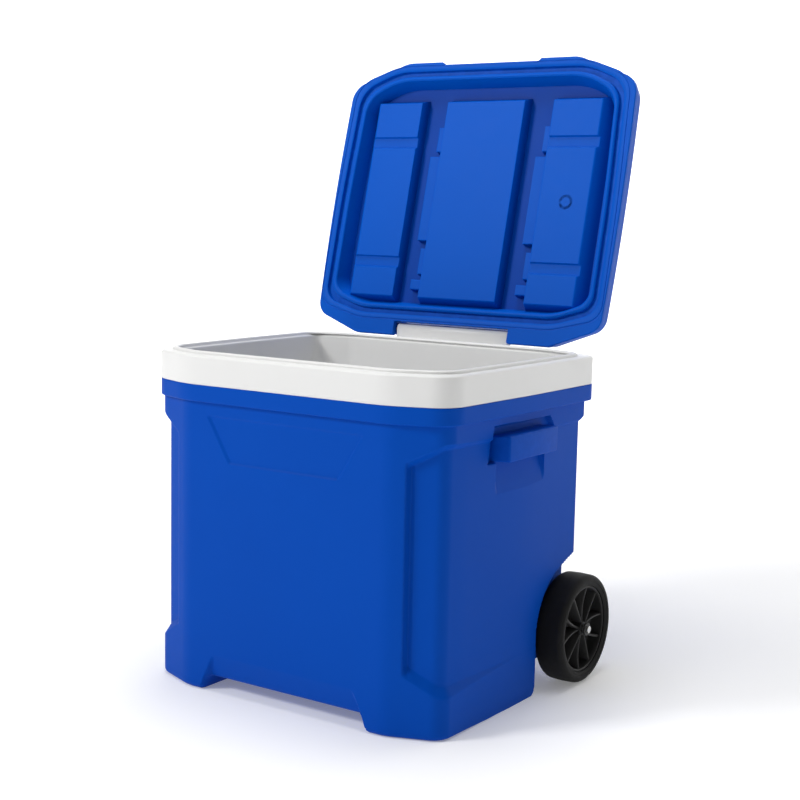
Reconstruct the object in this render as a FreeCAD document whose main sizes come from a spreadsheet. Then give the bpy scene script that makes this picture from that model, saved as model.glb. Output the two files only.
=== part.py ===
"""Wheeled cooler box, about 60 quarts: the design of its moulded body, hinged lid, wheels, tow handle and drain.

Frame: millimetres, X to the right seen from the front, Y to the back, Z up. The origin is on the floor, under the
middle of the rim. The lid is drawn open against its stop, and the tow handle hangs down behind the back wall."""

import FreeCAD, Part
import os

import Sketcher

doc = FreeCAD.newDocument("wheeled_cooler")

# ---------------------------------------------------------------------------------------------------------------------
# Driving dimensions
# ---------------------------------------------------------------------------------------------------------------------
DIMENSIONS = {
    "rim_half_width": 246,
    "rim_half_depth": 210,
    "rim_top": 460,
    "rim_bottom": 421,
    "lip_inset": 12,
    "lip_rear_inset": 25,
    "lip_width": 6,
    "lip_height": 5,
    "band_bottom": 398,
    "skirt_bottom": 372,
    "ring_top": 66,
    "flat_half": 165,
    "facet_drop": 28,
    "wall_half_width": 236,
    "wall_front": 199,
    "wall_rear": 192,
    "panel_proud": 5,
    "panel_half_width": 190,
    "shell_wall": 3,
    "liner_wall": 2.5,
    "foam_gap": 0.3,
    "mouth_half_width": 222,
    "mouth_front": 190,
    "mouth_rear": 178,
    "floor_half_width": 204,
    "floor_front": 174,
    "floor_rear": 152,
    "floor_height": 36,
    "step_front": 88,
    "step_height": 104,
    "base_clearance": 18,
    "runner_inner": 130,
    "cross_rib_half": 15,
    "wheel_radius": 77,
    "wheel_width": 44,
    "wheel_face": 268,
    "wheel_centre": 150,
    "arch_radius": 92,
    "arch_face": 218,
    "axle_radius": 5,
    "tunnel_radius": 8,
    "hinge_y": 206,
    "hinge_z": 475,
    "hinge_barrel": 9.5,
    "hinge_half_width": 98,
    "hinge_pin_radius": 4,
    "open_angle": 104,
    "lid_half_width": 250,
    "lid_front": 213,
    "lid_rear": 218,
    "lid_bottom": 460.5,
    "lid_thickness": 36,
    "lid_skin": 3,
    "panel_sink": 6,
    "channel_sink": 24,
    "grip_block_middle": 2.5,
    "grip_block_length": 128,
    "grip_block_bottom": 341,
    "grip_block_top": 375,
    "grip_block_face": 256,
    "scoop_floor": 226,
    "scoop_bottom": 297,
    "tow_pivot_y": 208,
    "tow_pivot_z": 350,
    "tow_reach": 235,
    "tow_half_width": 105,
    "tow_grip_radius": 12,
    "drain_y": -120,
    "drain_z": 50,
    "drain_bore": 9,
}

sheet = doc.addObject("Spreadsheet::Sheet", "Dims")
for row, (alias, value) in enumerate(DIMENSIONS.items(), start=1):
    sheet.set(f"A{row}", alias)
    sheet.set(f"B{row}", str(value))
    sheet.setAlias(f"B{row}", alias)
doc.recompute()


def dim(text):
    """An expression over the sheet's aliases, such as dim('rim_top - lip_height')."""
    for alias in sorted(DIMENSIONS, key=len, reverse=True):
        text = text.replace(alias, "@" + str(list(DIMENSIONS).index(alias)) + "@")
    for index, alias in enumerate(DIMENSIONS):
        text = text.replace("@" + str(index) + "@", "Dims." + alias)
    return text


def bind(feature, prop, text):
    feature.setExpression(prop, dim(str(text)))


def place(feature, x=0, y=0, z=0):
    bind(feature, "Placement.Base.x", x)
    bind(feature, "Placement.Base.y", y)
    bind(feature, "Placement.Base.z", z)
    return feature


# ---------------------------------------------------------------------------------------------------------------------
# Solids that every sub-part is made from
# ---------------------------------------------------------------------------------------------------------------------
def box(x_low, x_high, y_low, y_high, z_low, z_high):
    solid = doc.addObject("Part::Box", "box")
    bind(solid, "Length", f"({x_high}) - ({x_low})")
    bind(solid, "Width", f"({y_high}) - ({y_low})")
    bind(solid, "Height", f"({z_high}) - ({z_low})")
    return place(solid, x_low, y_low, z_low)


def mirrored_boxes(x_low, x_high, y_low, y_high, z_low, z_high):
    """The same box on the right side and on the left side."""
    right = box(x_low, x_high, y_low, y_high, z_low, z_high)
    left = box(f"-({x_high})", f"-({x_low})", y_low, y_high, z_low, z_high)
    return [right, left]


def rod(radius, x_low, x_high, y, z):
    """A cylinder along X."""
    solid = doc.addObject("Part::Cylinder", "rod")
    bind(solid, "Radius", radius)
    bind(solid, "Height", f"({x_high}) - ({x_low})")
    solid.Placement.Rotation = FreeCAD.Rotation(FreeCAD.Vector(0, 1, 0), 90)
    return place(solid, x_low, y, z)


def post(radius, x, y, z_low, z_high):
    """A cylinder along Z."""
    solid = doc.addObject("Part::Cylinder", "post")
    bind(solid, "Radius", radius)
    bind(solid, "Height", f"({z_high}) - ({z_low})")
    return place(solid, x, y, z_low)


def stud(radius, x, y_low, y_high, z):
    """A cylinder along Y."""
    solid = doc.addObject("Part::Cylinder", "stud")
    bind(solid, "Radius", radius)
    bind(solid, "Height", f"({y_high}) - ({y_low})")
    solid.Placement.Rotation = FreeCAD.Rotation(FreeCAD.Vector(1, 0, 0), -90)
    return place(solid, x, y_low, z)


def closed_sketch(points):
    """A sketch of straight lines through points, each a pair of expressions measured from its origin."""
    sketch = doc.addObject("Sketcher::SketchObject", "outline")
    corners = []
    for x_text, y_text in points:
        x = float(sheet.evalExpression(dim(str(x_text))))
        y = float(sheet.evalExpression(dim(str(y_text))))
        corners.append(FreeCAD.Vector(x, y, 0))
    for start, end in zip(corners, corners[1:] + corners[:1]):
        sketch.addGeometry(Part.LineSegment(start, end), False)
    count = len(points)
    for index in range(count):
        sketch.addConstraint(Sketcher.Constraint("Coincident", index, 2, (index + 1) % count, 1))
    for index, corner in enumerate(corners):
        for kind, value, text in zip(("DistanceX", "DistanceY"), (corner.x, corner.y), points[index]):
            number = sketch.addConstraint(Sketcher.Constraint(kind, -1, 1, index, 1, value))
            bind(sketch, f"Constraints[{number}]", text)
    return sketch


def extruded(sketch, direction, length):
    solid = doc.addObject("Part::Extrusion", "extrusion")
    solid.Base = sketch
    solid.DirMode = "Custom"
    solid.Dir = direction
    solid.Solid = True
    bind(solid, "LengthFwd", length)
    return solid


def plan_slab(half_width, front, rear, z_low, z_high, radius=20):
    """A level slab with the cooler's plan: a flat front and back, angled facets, and round corners at the sides."""
    facet = "facet_drop"
    sketch = closed_sketch([
        ("-flat_half", f"-({front})"),
        ("flat_half", f"-({front})"),
        (half_width, f"{facet} - ({front})"),
        (half_width, f"({rear}) - {facet}"),
        ("flat_half", rear),
        ("-flat_half", rear),
        (f"-({half_width})", f"({rear}) - {facet}"),
        (f"-({half_width})", f"{facet} - ({front})"),
    ])
    bind(sketch, "Placement.Base.z", z_low)
    slab = extruded(sketch, FreeCAD.Vector(0, 0, 1), f"({z_high}) - ({z_low})")
    doc.recompute()
    corners = []
    for number, edge in enumerate(slab.Shape.Edges, start=1):
        start, end = edge.Vertexes[0].Point, edge.Vertexes[-1].Point
        upright = abs(start.x - end.x) + abs(start.y - end.y) < 0.001
        if upright and abs(start.x) > DIMENSIONS["flat_half"] + 1:
            corners.append((number, radius, radius))
    fillet = doc.addObject("Part::Fillet", "slab")
    fillet.Base = slab
    fillet.Edges = corners
    return fillet


def profile_x(points, x_low, x_high):
    """A prism along X over an outline in the YZ plane."""
    sketch = closed_sketch(points)
    sketch.Placement.Rotation = FreeCAD.Rotation(FreeCAD.Vector(1, 1, 1), 120)
    bind(sketch, "Placement.Base.x", x_low)
    return extruded(sketch, FreeCAD.Vector(1, 0, 0), f"({x_high}) - ({x_low})")


def profile_y(points, y_low, y_high):
    """A prism along Y over an outline in the XZ plane."""
    sketch = closed_sketch(points)
    sketch.Placement.Rotation = FreeCAD.Rotation(FreeCAD.Vector(1, 0, 0), 90)
    bind(sketch, "Placement.Base.y", y_low)
    return extruded(sketch, FreeCAD.Vector(0, 1, 0), f"({y_high}) - ({y_low})")


def fuse(*solids):
    joined = doc.addObject("Part::MultiFuse", "fuse")
    joined.Shapes = list(solids)
    return joined


def cut(base, *tools):
    """The base with every tool taken away."""
    tool = tools[0] if len(tools) == 1 else fuse(*tools)
    result = doc.addObject("Part::Cut", "cut")
    result.Base = base
    result.Tool = tool
    return result


def common(first, second):
    result = doc.addObject("Part::Common", "common")
    result.Base = first
    result.Tool = second
    return result


def mirror(source):
    """The same solid on the left side."""
    result = doc.addObject("Part::Mirroring", "mirror")
    result.Source = source
    result.Normal = FreeCAD.Vector(1, 0, 0)
    return result


nodes = []


def node(name, feature):
    """Name a finished sub-part. Its file takes the same name."""
    feature.Label = name
    nodes.append(feature)
    return feature


def node_group(name, features):
    """Identical fasteners, kept as separate solids in one node."""
    group = doc.addObject("Part::Compound", "group")
    group.Links = features
    return node(name, group)


# ---------------------------------------------------------------------------------------------------------------------
# Outer shell: blow-moulded blue plastic, with the base runners, the wheel arches and the scoop handles moulded in
# ---------------------------------------------------------------------------------------------------------------------
PROUD_WIDTH = "wall_half_width + panel_proud"
PROUD_FRONT = "wall_front + panel_proud"


def arch_pockets(face, grow):
    """The space for both wheels, open at the side, below and behind."""
    radius = f"arch_radius + ({grow})"
    outside = "rim_half_width + 20"
    round_part = rod(radius, face, outside, "wheel_centre", "wheel_radius")
    rear_part = box(face, outside, "wheel_centre", "rim_half_depth + 20", "-5", f"wheel_radius + {radius}")
    low_part = box(face, outside, f"wheel_centre - ({radius})", "wheel_centre + 1", "-5", "wheel_radius")
    pocket = fuse(round_part, rear_part, low_part)
    return [pocket, mirror(pocket)]


def scoop_cut(wall):
    """The finger space under the right handle block, running down into a wedge in the wall."""
    low = "grip_block_middle - grip_block_length / 2 + 4"
    high = "grip_block_middle + grip_block_length / 2 - 2"
    return profile_y([
        ("wall_half_width + 2", "scoop_bottom - 6"),
        (f"scoop_floor - ({wall})", f"grip_block_bottom - ({wall})"),
        (f"scoop_floor - ({wall})", f"grip_block_top - 8 + ({wall})"),
        ("grip_block_face - 6", f"grip_block_top - 8 + ({wall})"),
        ("grip_block_face - 6", "scoop_bottom - 6"),
    ], f"{low} - ({wall})", f"{high} + ({wall})")


def notch_cut():
    """The trapezoid notch in the right skirt, around the handle block."""
    return profile_x([
        ("grip_block_middle - 84", "grip_block_bottom - 4"),
        ("grip_block_middle + 84", "grip_block_bottom - 4"),
        ("grip_block_middle + 74", "skirt_bottom + 16"),
        ("grip_block_middle - 74", "skirt_bottom + 16"),
    ], "wall_half_width - 4", "rim_half_width")


def outer_form():
    band = plan_slab("rim_half_width", "rim_half_depth", "rim_half_depth", "band_bottom", "rim_bottom")
    skirt = plan_slab(PROUD_WIDTH, PROUD_FRONT, "wall_rear + 6", "skirt_bottom", "band_bottom")
    wall = plan_slab("wall_half_width", "wall_front", "wall_rear", "ring_top", "skirt_bottom")
    ring = plan_slab(PROUD_WIDTH, PROUD_FRONT, "wall_rear", "0", "ring_top")
    panel_body = plan_slab(PROUD_WIDTH, PROUD_FRONT, "wall_rear", "ring_top - 1", "skirt_bottom + 1")
    panel_limits = box("-panel_half_width", "panel_half_width", f"-({PROUD_FRONT}) - 1", "0", "0", "rim_top")
    panel = common(panel_body, panel_limits)
    blank = fuse(band, skirt, wall, ring, panel)
    underside = [
        box("-runner_inner", "runner_inner", "-rim_half_depth", "-cross_rib_half", "-1", "base_clearance"),
        box("-runner_inner", "runner_inner", "cross_rib_half", "rim_half_depth", "-1", "base_clearance"),
    ]
    toe_recess = profile_y([
        ("-142", "-1"),
        ("142", "-1"),
        ("118", "54"),
        ("-118", "54"),
    ], "-rim_half_depth", "-wall_front + 3")
    plaque = profile_y([
        ("-91", "318"),
        ("91", "318"),
        ("130", "381"),
        ("-130", "381"),
    ], "-rim_half_depth", f"-({PROUD_FRONT}) + 2.5")
    notch = notch_cut()
    relieved = cut(blank, *underside, toe_recess, plaque, notch, mirror(notch), *arch_pockets("arch_face", "0"))
    block_low = "grip_block_middle - grip_block_length / 2"
    block_high = "grip_block_middle + grip_block_length / 2"
    blocks = mirrored_boxes("wall_half_width - 6", "grip_block_face", block_low, block_high,
                            "grip_block_bottom", "grip_block_top")
    scoop = scoop_cut("0")
    return cut(fuse(relieved, *blocks), scoop, mirror(scoop))


def foam_space(gap):
    """The inside of the shell, where the foam goes. A gap above 0 makes it that much smaller."""
    inner = f"shell_wall + ({gap})"
    core = plan_slab(f"wall_half_width - ({inner})", f"wall_front - 3 - ({inner})", f"wall_rear - ({inner})",
                     f"base_clearance + {inner}", "skirt_bottom + shell_wall + 2")
    skirt = plan_slab(f"{PROUD_WIDTH} - ({inner})", f"wall_front - 3 - ({inner})", f"wall_rear + 6 - ({inner})",
                      f"skirt_bottom + ({inner})", "band_bottom + shell_wall + 2")
    band = plan_slab(f"rim_half_width - ({inner})", f"rim_half_depth - ({inner})", f"rim_half_depth - ({inner})",
                     f"band_bottom + ({inner})", "rim_bottom")
    runners = mirrored_boxes(f"runner_inner + ({inner})", f"arch_face - 4 - ({gap})", f"-wall_front + 24 + ({gap})",
                             f"wheel_centre - arch_radius - ({inner})", inner, "base_clearance + shell_wall + 2")
    pockets = arch_pockets(f"arch_face - ({inner})", inner)
    handle_wall = mirrored_boxes(f"scoop_floor - ({inner})", "rim_half_width",
                                 f"grip_block_middle - 86 - ({inner})", f"grip_block_middle + 86 + ({inner})",
                                 f"scoop_bottom - 6 - ({inner})", f"skirt_bottom + 16 + ({inner})")
    tunnel = rod(f"tunnel_radius + ({inner})", "-wall_half_width", "wall_half_width", "wheel_centre", "wheel_radius")
    return cut(fuse(core, skirt, band, *runners), *pockets, *handle_wall, tunnel)


def base_plug_hole(radius):
    return post(radius, "0", "-60", "base_clearance - 1", "base_clearance + 8")


def drain_hole(radius):
    return rod(radius, "-rim_half_width", "-floor_half_width + 30", "drain_y", "drain_z")


TOW_SCREW_PITCH = 18


def tow_screw_holes(radius):
    """Four holes in the back wall, above and below each tow pivot."""
    holes = []
    for x in ("tow_half_width", "-tow_half_width"):
        for z in (f"tow_pivot_z - {TOW_SCREW_PITCH}", f"tow_pivot_z + {TOW_SCREW_PITCH}"):
            holes.append(stud(radius, x, "wall_rear - 8", "wall_rear + 1", z))
    return holes


node("outer_shell", cut(
    outer_form(),
    foam_space("0"),
    rod("tunnel_radius", "-wall_half_width", "wall_half_width", "wheel_centre", "wheel_radius"),
    base_plug_hole("12"),
    drain_hole("12.3"),
    *tow_screw_holes("2.05"),
))

# ---------------------------------------------------------------------------------------------------------------------
# Inner liner: white food-safe plastic, one moulding with the rim and the hinge block
# ---------------------------------------------------------------------------------------------------------------------
def tub_outline(half_width, front, rear, level):
    """The tub's plan at one level: flat sides with a facet at each corner."""
    inner_flat = "flat_half - 20"
    sketch = closed_sketch([
        (f"-({inner_flat})", f"-({front})"),
        (inner_flat, f"-({front})"),
        (half_width, f"facet_drop + 6 - ({front})"),
        (half_width, f"{rear} - facet_drop"),
        (inner_flat, rear),
        (f"-({inner_flat})", rear),
        (f"-({half_width})", f"{rear} - facet_drop"),
        (f"-({half_width})", f"facet_drop + 6 - ({front})"),
    ])
    bind(sketch, "Placement.Base.z", level)
    return sketch


def tub(grow, z_top):
    """The tapered inside of the tub, with the floor stepped up over the axle. Grow gives the liner's outer face."""
    low = tub_outline(f"floor_half_width + {grow}", f"floor_front + {grow}", f"floor_rear + {grow}",
                      f"floor_height - ({grow})")
    high = tub_outline(f"mouth_half_width + {grow}", f"mouth_front + {grow}", f"mouth_rear + {grow}", z_top)
    loft = doc.addObject("Part::Loft", "tub")
    loft.Sections = [low, high]
    loft.Solid = True
    loft.Ruled = True
    doc.recompute()
    upright = []
    for number, edge in enumerate(loft.Shape.Edges, start=1):
        start, end = edge.Vertexes[0].Point, edge.Vertexes[-1].Point
        if abs(start.z - end.z) > 10 and abs(start.x) > DIMENSIONS["flat_half"]:
            upright.append((number, 20, 20))
    fillet = doc.addObject("Part::Fillet", "tub")
    fillet.Base = loft
    fillet.Edges = upright
    step = box("-rim_half_width", "rim_half_width", f"step_front + {grow}", "rim_half_depth", "0",
               f"step_height - ({grow})")
    return cut(fillet, step)


def hinge_block():
    """The barrel on the rim's back edge that carries both hinge pins."""
    barrel = rod("hinge_barrel", "-hinge_half_width", "hinge_half_width", "hinge_y", "hinge_z")
    foot = box("-hinge_half_width", "hinge_half_width", "hinge_y - hinge_barrel", "rim_half_depth",
               "rim_top - 1", "hinge_z")
    return fuse(barrel, foot)


def pin_hole(radius):
    hole = rod(radius, "hinge_half_width - 26", "hinge_half_width + 40", "hinge_y", "hinge_z")
    return [hole, mirror(hole)]


def inner_liner():
    rim = plan_slab("rim_half_width", "rim_half_depth", "rim_half_depth", "rim_bottom", "rim_top")
    lip_outer = plan_slab("rim_half_width - lip_inset", "rim_half_depth - lip_inset", "rim_half_depth - lip_rear_inset",
                          "rim_top - 1", "rim_top + lip_height")
    lip_inner = plan_slab("rim_half_width - lip_inset - lip_width", "rim_half_depth - lip_inset - lip_width",
                          "rim_half_depth - lip_rear_inset - lip_width", "rim_top - 2", "rim_top + lip_height + 1")
    lip = cut(lip_outer, lip_inner)
    wall = "liner_wall"
    channel = cut(
        plan_slab(f"rim_half_width - {wall}", f"rim_half_depth - {wall}", f"rim_half_depth - {wall}",
                  "rim_bottom - 1", f"rim_top - {wall} - 4"),
        tub(wall, "rim_top"),
    )
    lug_relief = mirrored_boxes("hinge_half_width + 0.5", "hinge_half_width + 88", "hinge_y - 13", "rim_half_depth + 1",
                                "rim_top - 4", "rim_top + lip_height + 1")
    solid = fuse(rim, lip, tub(wall, "rim_top"), hinge_block())
    return cut(solid, channel, tub("0", "rim_top + 0.01"), *lug_relief, *pin_hole("hinge_pin_radius"),
               drain_hole("12.3"))


node("inner_liner", inner_liner())

# ---------------------------------------------------------------------------------------------------------------------
# Body insulation: one foamed-in-place block between the shell and the liner, and the plug that closes its fill hole
# ---------------------------------------------------------------------------------------------------------------------
node("foam_insulation", cut(
    foam_space("foam_gap"),
    tub("liner_wall + foam_gap", "rim_top"),
    base_plug_hole("13"),
    drain_hole("12.6"),
    *tow_screw_holes("2.6"),
))
node("base_fill_plug", post("11.95", "0", "-60", "base_clearance - 0.5", "base_clearance + 6"))

# ---------------------------------------------------------------------------------------------------------------------
# Lid: drawn closed, then turned open about the hinge. Two blue mouldings with foam between them
# ---------------------------------------------------------------------------------------------------------------------
LID_TOP = "lid_bottom + lid_thickness"
PLUG_X = 160
PLUG_Y = 4


def lid_blank(inset, z_low, z_high):
    front = "lid_front" if inset == "0" else f"lid_front - 7 - ({inset})"
    return plan_slab(f"lid_half_width - ({inset})", front, f"lid_rear - ({inset})", z_low, z_high, 24)


def lid_solid_places(gap):
    """Where the lid is solid or open at the back: behind the hinge notch's wall, and in the two hinge lugs."""
    notch = box(f"-(hinge_half_width + 5 + {gap})", f"hinge_half_width + 5 + {gap}",
                f"hinge_y - hinge_barrel - 3.5 - {gap}", "lid_rear + 1", "lid_bottom - 1", f"{LID_TOP} + 1")
    lugs = mirrored_boxes("hinge_half_width", f"hinge_half_width + 36 + {gap}", f"hinge_y - 16 - {gap}", "lid_rear + 1",
                          "lid_bottom - 1", f"{LID_TOP} + 1")
    return [notch, *lugs]


def lid_recess(grow):
    """The sunk parts of the lid's underside: the groove for the rim's lip, the middle field and two deep channels."""
    groove_outer = plan_slab(f"rim_half_width - lip_inset + 2 + ({grow})", f"rim_half_depth - lip_inset + 2 + ({grow})",
                             f"rim_half_depth - lip_rear_inset + 2 + ({grow})", "lid_bottom - 0.001",
                             f"lid_bottom + lip_height + 1 + ({grow})")
    groove_inner = plan_slab(f"rim_half_width - lip_inset - lip_width - 2 - ({grow})",
                             f"rim_half_depth - lip_inset - lip_width - 2 - ({grow})",
                             f"rim_half_depth - lip_rear_inset - lip_width - 2 - ({grow})", "lid_bottom - 1",
                             f"lid_bottom + lip_height + 2 + ({grow})")
    groove = cut(groove_outer, groove_inner)
    field = box(f"-(rim_half_width - 29 + ({grow}))", f"rim_half_width - 29 + ({grow})", f"-(lid_front - 40 + ({grow}))",
                f"hinge_y - 40 + ({grow})", "lid_bottom - 0.001", f"lid_bottom + panel_sink + ({grow})")
    channels = mirrored_boxes(f"70 - ({grow})", f"112 + ({grow})", f"-(lid_front - 63 + ({grow}))", f"hinge_y - 49 + ({grow})",
                              "lid_bottom - 0.001", f"lid_bottom + channel_sink + ({grow})")
    return fuse(groove, field, *channels)


def lug_bore(radius):
    hole = rod(radius, "hinge_half_width - 2", "hinge_half_width + 33", "hinge_y", "hinge_z")
    return [hole, mirror(hole)]


def opened(feature):
    """Turn a closed lid part back about the hinge axis until it stands open."""
    centre = FreeCAD.Vector(0, DIMENSIONS["hinge_y"], DIMENSIONS["hinge_z"])
    turn = FreeCAD.Rotation(FreeCAD.Vector(1, 0, 0), -DIMENSIONS["open_angle"])
    feature.Placement = FreeCAD.Placement(FreeCAD.Vector(0, 0, 0), turn, centre)
    return feature


hollow = cut(lid_blank("lid_skin", "lid_bottom - 1", f"{LID_TOP} - lid_skin"), *lid_solid_places("0"))
hinge_notch = box("-(hinge_half_width + 2)", "hinge_half_width + 2", "hinge_y - hinge_barrel - 0.5", "lid_rear + 1",
                  "lid_bottom - 1", f"{LID_TOP} + 1")
finger_notch = box("-80", "80", "-(lid_front + 1)", "-(lid_front - 6.5)", "lid_bottom - 1", f"{LID_TOP} + 1")
node("lid_top_shell", opened(cut(
    lid_blank("0", "lid_bottom", LID_TOP),
    hollow,
    hinge_notch,
    finger_notch,
    *lug_bore("hinge_pin_radius + 0.05"),
)))
plate = cut(lid_blank("lid_skin + 0.1", "lid_bottom", "lid_bottom + liner_wall"), *lid_solid_places("0.1"))
node("lid_inner_panel", opened(cut(
    fuse(plate, lid_recess("liner_wall")),
    lid_recess("0"),
    post("11", PLUG_X, PLUG_Y, "lid_bottom", "lid_bottom + panel_sink + 6"),
)))
foam_core = cut(
    lid_blank("lid_skin + foam_gap", "lid_bottom + liner_wall + foam_gap", f"{LID_TOP} - lid_skin - foam_gap"),
    *lid_solid_places("foam_gap"),
)
node("lid_foam", opened(cut(
    foam_core,
    lid_recess("liner_wall + foam_gap"),
    post("11.5", PLUG_X, PLUG_Y, "lid_bottom", "lid_bottom + panel_sink + 8"),
)))
node("lid_fill_plug", opened(cut(
    post("10.95", PLUG_X, PLUG_Y, "lid_bottom + panel_sink", "lid_bottom + panel_sink + 7"),
    post("7", PLUG_X, PLUG_Y, "lid_bottom + panel_sink - 1", "lid_bottom + panel_sink + 1.2"),
)))

hinge_pin = rod("hinge_pin_radius", "hinge_half_width - 25.9", "hinge_half_width + 32", "hinge_y", "hinge_z")
node("hinge_pin_right", hinge_pin)
node("hinge_pin_left", mirror(hinge_pin))

# ---------------------------------------------------------------------------------------------------------------------
# Running gear: a steel axle through the shell's tunnel, two bushes, two spoked wheels with tyres, washers and push nuts
# ---------------------------------------------------------------------------------------------------------------------
TYRE_INNER = "wheel_radius - 15"
HUB_RADIUS = 13
SPOKE_PAIRS = 5
PAIR_HALF_ANGLE = 11


def wheel_rod(radius, x_low, x_high):
    return rod(radius, x_low, x_high, "wheel_centre", "wheel_radius")


def tyre():
    blank = cut(
        wheel_rod("wheel_radius", "wheel_face - wheel_width", "wheel_face"),
        wheel_rod(TYRE_INNER, "wheel_face - wheel_width - 1", "wheel_face + 1"),
    )
    doc.recompute()
    shoulders = []
    for number, edge in enumerate(blank.Shape.Edges, start=1):
        if isinstance(edge.Curve, Part.Circle) and abs(edge.Curve.Radius - DIMENSIONS["wheel_radius"]) < 0.1:
            shoulders.append((number, 7, 7))
    fillet = doc.addObject("Part::Fillet", "tyre")
    fillet.Base = blank
    fillet.Edges = shoulders
    return fillet


def spoke(angle):
    """One straight spoke from the hub to the rim."""
    bar = doc.addObject("Part::Box", "spoke")
    bind(bar, "Length", "10")
    bind(bar, "Width", "4")
    bind(bar, "Height", f"{TYRE_INNER} - 15")
    turn = FreeCAD.Rotation(FreeCAD.Vector(1, 0, 0), angle)
    foot = turn.multVec(FreeCAD.Vector(0, -2, 10))
    bar.Placement.Rotation = turn
    bind(bar, "Placement.Base.x", "wheel_face - 18")
    bind(bar, "Placement.Base.y", f"wheel_centre + ({foot.y})")
    bind(bar, "Placement.Base.z", f"wheel_radius + ({foot.z})")
    return bar


def wheel():
    rim = cut(
        wheel_rod(TYRE_INNER, "wheel_face - wheel_width + 4", "wheel_face - 4"),
        wheel_rod(f"{TYRE_INNER} - 6", "wheel_face - wheel_width", "wheel_face"),
    )
    hub = wheel_rod(HUB_RADIUS, "wheel_face - wheel_width - 2", "wheel_face - 2")
    spokes = []
    for pair in range(SPOKE_PAIRS):
        for side in (-1, 1):
            spokes.append(spoke(pair * 360 / SPOKE_PAIRS + side * PAIR_HALF_ANGLE))
    bore = wheel_rod("axle_radius + 0.05", "arch_face - 10", "wheel_face + 1")
    return cut(fuse(rim, hub, *spokes), bore)


def both_sides(name, feature):
    node(f"{name}_right", feature)
    node(f"{name}_left", mirror(feature))


both_sides("tyre", tyre())
both_sides("wheel", wheel())
both_sides("wheel_washer", cut(
    wheel_rod("12", "arch_face + 0.2", "wheel_face - wheel_width - 2.2"),
    wheel_rod("axle_radius + 0.02", "arch_face", "wheel_face"),
))
both_sides("push_nut", cut(
    wheel_rod("9", "wheel_face - 1.7", "wheel_face + 1.3"),
    wheel_rod("axle_radius", "arch_face", "wheel_face + 2"),
))
both_sides("axle_bush", cut(
    wheel_rod("tunnel_radius", "arch_face - 30", "arch_face"),
    wheel_rod("axle_radius + 0.02", "arch_face - 31", "arch_face + 1"),
))
node("axle", wheel_rod("axle_radius", "-(wheel_face + 4)", "wheel_face + 4"))

# ---------------------------------------------------------------------------------------------------------------------
# Tow handle: a bail of two arms and a grip, pinned in two brackets that are screwed to the back wall
# ---------------------------------------------------------------------------------------------------------------------
ARM_WIDTH = 12
ARM_DEPTH = 12


def tow_rod(radius, x_low, x_high, below="0"):
    return rod(radius, x_low, x_high, "tow_pivot_y", f"tow_pivot_z - ({below})")


def tow_bracket():
    plate = box("tow_half_width - 15", "tow_half_width + 15", "wall_rear", "wall_rear + 4", "tow_pivot_z - 26",
                "tow_pivot_z + 21")
    ears = []
    for low, high in ((-13, -ARM_WIDTH / 2 - 0.4), (ARM_WIDTH / 2 + 0.4, 13)):
        ears.append(box(f"tow_half_width + ({low})", f"tow_half_width + ({high})", "wall_rear + 1", "tow_pivot_y",
                        "tow_pivot_z - 11", "tow_pivot_z + 11"))
        ears.append(tow_rod("11", f"tow_half_width + ({low})", f"tow_half_width + ({high})"))
    holes = []
    for z in (f"tow_pivot_z - {TOW_SCREW_PITCH}", f"tow_pivot_z + {TOW_SCREW_PITCH}"):
        holes.append(stud("2.05", "tow_half_width", "wall_rear - 1", "wall_rear + 20", z))
    return cut(fuse(plate, *ears), tow_rod("4", "tow_half_width - 14", "tow_half_width + 14"), *holes)


def tow_arm():
    low = f"tow_half_width - {ARM_WIDTH / 2}"
    high = f"tow_half_width + {ARM_WIDTH / 2}"
    bar = box(low, high, f"tow_pivot_y - {ARM_DEPTH / 2}", f"tow_pivot_y + {ARM_DEPTH / 2}",
              "tow_pivot_z - tow_reach", "tow_pivot_z")
    eye = tow_rod("9", low, high)
    foot = tow_rod("tow_grip_radius", low, high, "tow_reach")
    return cut(fuse(bar, eye, foot), tow_rod("4.05", "0", "rim_half_width"),
               tow_rod("3.05", "0", "rim_half_width", "tow_reach"))


def grip_screw():
    shank = tow_rod("3", f"tow_half_width - {ARM_WIDTH / 2} - 16", f"tow_half_width + {ARM_WIDTH / 2} + 0.5", "tow_reach")
    head = tow_rod("6", f"tow_half_width + {ARM_WIDTH / 2}", f"tow_half_width + {ARM_WIDTH / 2} + 3", "tow_reach")
    return fuse(shank, head)


def bracket_screw(x, z):
    shank = stud("2", x, "wall_rear - 7", "wall_rear + 4.5", z)
    head = stud("4", x, "wall_rear + 4", "wall_rear + 6.5", z)
    return fuse(shank, head)


both_sides("tow_bracket", tow_bracket())
both_sides("tow_arm", tow_arm())
tow_pin = tow_rod("4", "tow_half_width - 13.5", "tow_half_width + 13.5")
node_group("tow_pivot_pins", [tow_pin, mirror(tow_pin)])
bracket_screws = []
for screw_x in ("tow_half_width", "-tow_half_width"):
    for screw_z in (f"tow_pivot_z - {TOW_SCREW_PITCH}", f"tow_pivot_z + {TOW_SCREW_PITCH}"):
        bracket_screws.append(bracket_screw(screw_x, screw_z))
node_group("tow_bracket_screws", bracket_screws)
right_grip_screw = grip_screw()
node_group("tow_grip_screws", [right_grip_screw, mirror(right_grip_screw)])
GRIP_END = f"tow_half_width - {ARM_WIDTH / 2}"
node("tow_grip", cut(
    tow_rod("tow_grip_radius", f"-({GRIP_END})", GRIP_END, "tow_reach"),
    tow_rod("3", f"{GRIP_END} - 17", f"{GRIP_END} + 1", "tow_reach"),
    tow_rod("3", f"-({GRIP_END}) - 1", f"-({GRIP_END}) + 17", "tow_reach"),
))

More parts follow.
